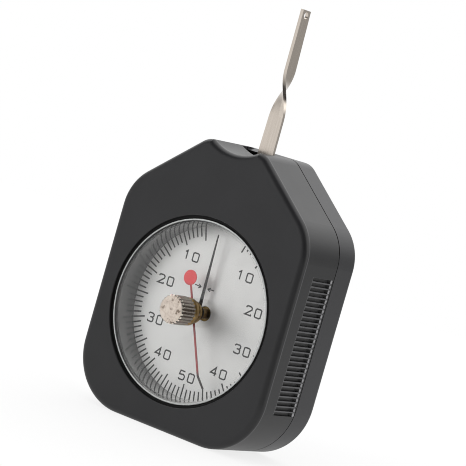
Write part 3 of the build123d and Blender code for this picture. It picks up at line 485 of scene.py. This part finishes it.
# Red enamel on the peak pointer: brightest on its disc, darker down its stem and near black at its
# tip
peakHand = {
    "tones": [
        (0.0, "241c1c"),
        (0.11, "2c1e1e"),
        (0.16, "86282b"),
        (0.84, "8c2a2c"),
        (0.89, "c8383c"),
    ],
    "rough": 0.35,
}


def redEnamel():
    material, tree, shader = startMaterial("red enamel, sprayed")
    place = addNode(tree, "TexCoord", {})["Object"]
    low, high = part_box("peak_pointer")
    height = addNode(tree, "SeparateXYZ", {"Vector": place})["Z"]
    ends = {"Value": height, "From Min": low.z, "From Max": high.z}
    upHand = addNode(tree, "MapRange", ends)["Result"]
    looks = {
        "Base Color": addNode(tree, "ValToRGB", {"Fac": upHand}, peakHand["tones"])["Color"],
        "Roughness": peakHand["rough"],
        "IOR": paintCoat["ior"],
        "Normal": orangePeel(tree, place)[1],
    }
    setInputs(tree, shader, looks)
    return material


finishes = {slot: turnedMetal(*looks) for slot, looks in turnedParts.items()}
finishes |= {
    "abs_black": mouldedAbs("moulded ABS", absPlastic["front"], paintedLight["frontJoint"], withPaintedLight=True),
    "acrylic_clear": mouldedAcrylic(),
    "gasket_rubber": dieCutRubber(),
    "dial_silver": silverLacquer(),
    "strip_nickel": platedStrip(),
    "knob_nickel": tumbledNickel(),
    "needle_black": enamel("matt black enamel", needleEnamel),
    "peak_red": redEnamel(),
}
for subpart in frame["record"]["subparts"]:
    for slot in nodes[subpart["node"]].material_slots:
        slot.material = finishes[subpart["material_slot"]]
# The same ABS, drawn lighter on the rear shell as painted light for its brighter shoulders
nodes["rear_shell"].material_slots[0].material = mouldedAbs(
    "moulded ABS, rear, painted lighter", absPlastic["rear"], paintedLight["rearJoint"], withPaintedLight=False
)
nodes["bush_nut"].material_slots[0].material = finishes["strip_nickel"]
print("materials set on", len(nodes), "nodes")


def meshFrom(bm, name):
    mesh = bpy.data.meshes.new(name)
    bm.to_mesh(mesh)
    bm.free()
    return mesh


def addObject(name, data):
    added = bpy.data.objects.new(name, data)
    bpy.context.scene.collection.objects.link(added)
    return added


# Dial print, measured from the dial's centre. The scale has 0 at the top and one division every
# 3.6 degrees, down both sides to 50
scale = {
    "division": 3.6,
    "first": 5,
    "last": 50,
    "longEvery": 5,
    "outerRadius": 25.02 * mm,
    "longRadius": 21.0 * mm,
    "shortRadius": 22.3 * mm,
    "lineWidth": 0.44 * mm,
    "printHeight": 0.03 * mm,
    "sunk": 0.01 * mm,  # into the lacquer
}
numbers = {
    "places": [  # value, then X and Z of its middle in mm
        (10, -9.93, 14.45),
        (10, 9.85, 13.85),
        (20, -16.2, 5.47),
        (20, 15.95, 5.13),
        (30, -16.14, -6.17),
        (30, 15.8, -6.24),
        (40, -10.2, -14.87),
        (40, 10.25, -14.56),
        (50, 0.05, -18.82),
    ],
    "width": 2.0 * mm,
    "height": 2.5 * mm,
    "advance": 3.35 * mm,
    "lineWidth": 0.42 * mm,
}
# Two small arrows that point at the needle from both sides, as (tip, tail) in mm
arrows = {
    "ends": [((-3.55, 7.0), (-5.9, 7.1)), ((-1.2, 7.0), (1.1, 7.1))],
    "head": 1.0,
    "spread": 0.55,
    "lineWidth": 0.3 * mm,
}
# Strokes of each digit, as shares of its width and height
digitShares = {
    "0": [
        [(0.18, 0), (0.82, 0), (1, 0.1), (1, 0.9), (0.82, 1), (0.18, 1), (0, 0.9), (0, 0.1)]
        + [(0.18, 0)]
    ],
    "1": [[(0.2, 0.8), (0.55, 1), (0.55, 0)]],
    "2": [
        [(0, 0.78), (0.08, 0.94), (0.28, 1), (0.75, 1), (1, 0.88), (1, 0.64), (0, 0), (1, 0)]
        + [(1, 0.16)]
    ],
    "3": [
        [(0, 0.84), (0.2, 1), (0.8, 1), (1, 0.88), (1, 0.66), (0.78, 0.53), (0.4, 0.53)],
        [(0.78, 0.53), (1, 0.4), (1, 0.12), (0.8, 0), (0.15, 0), (0, 0.16)],
    ],
    "4": [[(0.78, 0), (0.78, 1), (0, 0.3), (1.05, 0.3)]],
    "5": [
        [(0.95, 1), (0.15, 1), (0.05, 0.56), (0.75, 0.62), (1, 0.47), (1, 0.15), (0.8, 0)]
        + [(0.15, 0), (0, 0.12)]
    ],
}
dialInk = enamel("screen-printed ink", printInk)


# Printed lines on the dial: each stroke is a thin standing ribbon, thickened to the line
def inkStrokes(name, strokes, width):
    bm = bmesh.new()
    foot = dialFaceY + scale["sunk"]
    lift = Vector((0, -scale["sunk"] - scale["printHeight"], 0))
    for stroke in strokes:
        closed = stroke[0] == stroke[-1]
        points = stroke[:-1] if closed else stroke
        low = [bm.verts.new((dialCentre.x + x, foot, dialCentre.z + z)) for x, z in points]
        ends = zip(low, low[1:] + low[:1]) if closed else zip(low, low[1:])
        edges = [bm.edges.new(pair) for pair in ends]
        raised = bmesh.ops.extrude_edge_only(bm, edges=edges)["geom"]
        top = [v for v in raised if isinstance(v, bmesh.types.BMVert)]
        bmesh.ops.translate(bm, vec=lift, verts=top)
    piece = addObject(name, meshFrom(bm, name))
    thicken = piece.modifiers.new("line width", "SOLIDIFY")
    thicken.thickness = width
    thicken.offset = 0
    thicken.use_even_offset = True
    piece.data.materials.append(dialInk)
    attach(piece, "case")


def arrowStrokes():
    strokes = []
    for tip, tail in arrows["ends"]:
        back = tip[0] + arrows["head"] * (1 if tail[0] > tip[0] else -1)
        wings = [(back, tip[1] + side * arrows["spread"]) for side in (-1, 1)]
        strokes += [[(x * mm, z * mm) for x, z in (tip, end)] for end in [tail] + wings]
    return strokes


def tickStrokes():
    strokes = []
    for value in range(scale["first"], scale["last"] + 1):
        inner = scale["shortRadius"] if value % scale["longEvery"] else scale["longRadius"]
        sides = (-1,) if value == scale["last"] else (-1, 1)  # both sides share the last line
        for side in sides:
            turn = radians(side * value * scale["division"])
            strokes.append([(r * sin(turn), r * cos(turn)) for r in (inner, scale["outerRadius"])])
    return strokes


def numberStrokes():
    strokes = []
    width, height, advance = numbers["width"], numbers["height"], numbers["advance"]
    for value, across, rise in numbers["places"]:
        digits = str(value)
        start = across * mm - ((len(digits) - 1) * advance + width) / 2
        foot = rise * mm - height / 2
        for index, digit in enumerate(digits):
            left = start + index * advance
            for shares in digitShares[digit]:
                strokes.append([(left + x * width, foot + z * height) for x, z in shares])
    return strokes


inkStrokes("scale_arrows", arrowStrokes(), arrows["lineWidth"])
inkStrokes("scale_ticks", tickStrokes(), scale["lineWidth"])
inkStrokes("scale_numbers", numberStrokes(), numbers["lineWidth"])
print("dial printed")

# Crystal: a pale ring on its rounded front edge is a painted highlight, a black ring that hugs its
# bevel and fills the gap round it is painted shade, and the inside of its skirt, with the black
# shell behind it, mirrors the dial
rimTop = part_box("crystal")[0].y
crystalEdge = {
    "rimRadius": 26.18 * mm,
    "beadRadius": 0.23 * mm,
    "beadDepth": 0.29 * mm,
    "beadSteps": 14,
    # The pale bead is a painted highlight
    "beadColour": "b0b2b1",
    "beadRough": 0.25,
    "gapShade": [  # (radius, depth) pairs in mm
        (26.48, 0.266),
        (26.712, 0.498),
        (27.28, 0.498),
        (27.28, 0.7),
        (26.69, 0.7),
        (26.69, 0.505),
        (26.465, 0.28),
    ],
    "gapShadeColour": "060606",
    "gapShadeRough": 0.7,
    "gapShadeIor": 1.4,
    "wallRadius": 25.05 * mm,
    "wallThickness": 0.02 * mm,
    "wallStart": 1.35 * mm,
    "wallGap": 0.02 * mm,
    "wallColour": "252626",
    "steps": 160,
    "sharpAngle": 40,
}


# A closed profile of (radius, Y) turned round the dial's axis. Faces that look away from the axis
# take the last material
def spunPiece(name, profile, materials):
    axisPoint = Vector((dialCentre.x, 0, dialCentre.z))
    bm = bmesh.new()
    ring = [bm.verts.new((dialCentre.x + radius, y, dialCentre.z)) for radius, y in profile]
    edges = [bm.edges.new(pair) for pair in zip(ring, ring[1:] + ring[:1])]
    bmesh.ops.spin(
        bm,
        geom=ring + edges,
        cent=axisPoint,
        axis=(0, 1, 0),
        angle=2 * pi,
        steps=crystalEdge["steps"],
        use_merge=True,
        use_duplicate=False,
    )
    bmesh.ops.recalc_face_normals(bm, faces=bm.faces)
    mesh = meshFrom(bm, name)
    for material in materials:
        mesh.materials.append(material)
    for face in mesh.polygons:
        face.use_smooth = True
        away = face.normal.dot(face.center * Vector((1, 0, 1)) - axisPoint) > 0
        face.material_index = len(materials) - 1 if away else 0
    mesh.set_sharp_from_angle(angle=radians(crystalEdge["sharpAngle"]))
    piece = addObject(name, mesh)
    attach(piece, "case")


# A pale opaque ring on the crystal's rounded edge: a painted highlight
def roundedAcrylic():
    material, tree, shader = startMaterial("pale ring, painted highlight")
    looks = {
        "Base Color": linear(crystalEdge["beadColour"]),
        "Roughness": crystalEdge["beadRough"],
        "IOR": acrylic["ior"],
    }
    setInputs(tree, shader, looks)
    return material


# A matt black ring in and round the crystal's gap: painted shade
def wipedSealant():
    material, tree, shader = startMaterial("black gap ring, painted shade")
    looks = {
        "Base Color": linear(crystalEdge["gapShadeColour"]),
        "Roughness": crystalEdge["gapShadeRough"],
        "IOR": crystalEdge["gapShadeIor"],
    }
    setInputs(tree, shader, looks)
    return material


# Polished acrylic with moulded black ABS behind it. From behind it is as clear as the skirt
def wallAcrylic():
    material, tree, shader = startMaterial("acrylic over black ABS")
    looks = {
        "Base Color": linear(crystalEdge["wallColour"]),
        "Roughness": acrylic["rough"],
        "IOR": acrylic["ior"],
        "Coat Weight": 1.0,
    }
    setInputs(tree, shader, looks)
    behind = addNode(tree, "NewGeometry", {})["Backfacing"]
    clear = addNode(tree, "BsdfTransparent", {})["BSDF"]
    both = {0: behind, 1: shader.outputs["BSDF"], 2: clear}
    showSurface(tree, addNode(tree, "MixShader", both)["Shader"])
    return material


# Polished acrylic, looked through: the outer face of the thin wall
def clearSkirt():
    material, tree, shader = startMaterial("acrylic skirt, clear side")
    showSurface(tree, addNode(tree, "BsdfTransparent", {})["BSDF"])
    tree.nodes.remove(shader)
    return material


bead = []
beadRadius = crystalEdge["beadRadius"]
for step in range(crystalEdge["beadSteps"]):
    swing = 2 * pi * step / crystalEdge["beadSteps"]
    radius = crystalEdge["rimRadius"] - beadRadius * cos(swing)
    bead.append((radius, rimTop + crystalEdge["beadDepth"] - beadRadius * sin(swing)))
spunPiece("crystal_rim", bead, [roundedAcrylic()])
# The black ring that hugs the bevel and fills the gap: painted shade
gapShadeRing = [(radius * mm, rimTop + deep * mm) for radius, deep in crystalEdge["gapShade"]]
spunPiece("crystal_gap_shade", gapShadeRing, [wipedSealant()])
inner = crystalEdge["wallRadius"]
outer = inner + crystalEdge["wallThickness"]
wallFront = rimTop + crystalEdge["wallStart"]
wallRear = dialFaceY - crystalEdge["wallGap"]
wall = [(inner, wallFront), (outer, wallFront), (outer, wallRear), (inner, wallRear)]
spunPiece("crystal_skirt_face", wall, [wallAcrylic(), clearSkirt()])
print("crystal edge, sealant and skirt made")

# Floor: matt white paper. To the eye and in reflections it mostly glows, so that it meets the
# white world and only the object's shadow shows on it
floorSheet = {"half": 0.6, "colour": "f4f4f4", "rough": 0.9, "glowShare": 0.8, "mirrored": 0.8}


def paperFloor():
    material, tree, shader = startMaterial("white paper")
    looks = {"Base Color": linear(floorSheet["colour"]), "Roughness": floorSheet["rough"]}
    setInputs(tree, shader, looks)
    rays = addNode(tree, "LightPath", {})
    seen = rays["Is Camera Ray"]
    for kind in ("Is Glossy Ray", "Is Transmission Ray"):
        seen = addNode(tree, "Math", {0: seen, 1: rays[kind]}, operation="MAXIMUM")[0]
    glowing = {0: seen, 1: floorSheet["glowShare"]}
    share = addNode(tree, "Math", glowing, operation="MULTIPLY")[0]
    level = {0: rays["Is Glossy Ray"], 2: 1.0, 3: floorSheet["mirrored"]}
    glow = addNode(tree, "Emission", {"Strength": addNode(tree, "Mix", level)[0]})["Emission"]
    both = {0: share, 1: shader.outputs["BSDF"], 2: glow}
    showSurface(tree, addNode(tree, "MixShader", both)["Shader"])
    return material


bm = bmesh.new()
bmesh.ops.create_grid(bm, x_segments=1, y_segments=1, size=floorSheet["half"])
floor = addObject("floor", meshFrom(bm, "floor"))
floor.data.materials.append(paperFloor())

# World: white to the eye. On the object it is a plain fill, and what shines in it is a studio of
# white walls with dark cloth at the right, given as (place round the horizon, level) pairs, and a
# bright ceiling behind the object, given as (place from front to back, level) pairs. The ceiling
# takes over from the walls between two heights
studio = {
    "seen": 1.0,
    "fill": 0.95,
    "walls": [
        (0.0, 0.55),
        (0.16, 0.9),
        (0.30, 0.06),
        (0.47, 0.06),
        (0.53, 1.6),
        (0.575, 1.6),
        (0.63, 0.4),
        (0.72, 0.4),
        (0.84, 0.95),
        (1.0, 0.55),
    ],
    "ceiling": [(0.0, 0.3), (0.3, 0.12), (0.48, 1.7), (0.62, 1.6), (1.0, 1.5)],
    "ceilingHeights": (0.2, 0.5),  # sines of the angles above the horizon
}
world = bpy.data.worlds.new("studio")
world.use_nodes = True
bpy.context.scene.world = world
sky = world.node_tree
rays = addNode(sky, "LightPath", {})
direction = addNode(sky, "TexCoord", {})["Generated"]
toward = addNode(sky, "SeparateXYZ", {"Vector": direction})
turn = addNode(sky, "Math", {0: toward["Y"], 1: toward["X"]}, operation="ARCTAN2")[0]
spans = [(turn, (-pi, pi)), (toward["Y"], (-1.0, 1.0)), (toward["Z"], studio["ceilingHeights"])]
roundRoom, backward, upward = (
    addNode(sky, "MapRange", {"Value": value, "From Min": low, "From Max": high})["Result"]
    for value, (low, high) in spans
)
walls = addNode(sky, "ValToRGB", {"Fac": roundRoom}, studio["walls"])["Color"]
ceiling = addNode(sky, "ValToRGB", {"Fac": backward}, studio["ceiling"])["Color"]
room = addNode(sky, "Mix", {0: upward, 2: walls, 3: ceiling})[0]
onObject = addNode(sky, "Mix", {0: rays["Is Glossy Ray"], 2: studio["fill"], 3: room})[0]
straight = {0: rays["Is Camera Ray"], 1: rays["Is Transmission Ray"]}
clear = addNode(sky, "Math", straight, operation="MAXIMUM")[0]
strength = addNode(sky, "Mix", {0: clear, 2: onObject, 3: studio["seen"]})[0]
setInputs(sky, sky.nodes["Background"], {"Color": (1, 1, 1, 1), "Strength": strength})

# Lamps: a large soft box overhead and behind, and one from the front left, in metres and watts.
# They only light the object, and what shines in it is the studio above
softBoxes = {
    "rear": {"place": (-0.1, 0.75, 0.6), "size": 0.7, "power": 2.5},
    "front": {"place": (-0.5, -1.0, 0.08), "size": 0.7, "power": 16.0},
}
lampAim = Vector((0, 0, 0.05))
for name, box in softBoxes.items():
    lamp = bpy.data.lights.new(name, "AREA")
    lamp.size = box["size"]
    lamp.energy = box["power"]
    lampObject = addObject(name, lamp)
    lampObject.location = box["place"]
    aim = lampAim - lampObject.location
    lampObject.rotation_euler = aim.to_track_quat("-Z", "Y").to_euler()
    lampObject.visible_glossy = False
    lampObject.visible_transmission = False
print("stage and lamps set")

# Camera: right of the dial, nearly level, and rolled, as the photograph was taken
view = {
    "azimuth": radians(34.358),
    "elevation": radians(3.342),
    "roll": radians(16.043),
    "distance": 631.3 * mm,
    "aim": (-1.579 * mm, -0.3 * mm, 58.905 * mm),
    "lens": 169.863,
    "clipStart": 10 * mm,
    "filterWidth": 1.0,  # the photograph is sharp
}
right, back = sin(view["azimuth"]), -cos(view["azimuth"])
flat = cos(view["elevation"])
away = Vector((right * flat, back * flat, sin(view["elevation"])))
camera = addObject("camera", bpy.data.cameras.new("camera"))
camera.data.lens = view["lens"]
camera.data.clip_start = view["clipStart"]
place = Matrix.Translation(Vector(view["aim"]) + away * view["distance"])
upright = (-away).to_track_quat("-Z", "Y").to_matrix().to_4x4()
camera.matrix_world = place @ upright @ Matrix.Rotation(view["roll"], 4, "Z")
bpy.context.scene.camera = camera
bpy.context.scene.view_settings.view_transform = "Standard"
bpy.context.scene.cycles.filter_width = view["filterWidth"]
print("camera set")
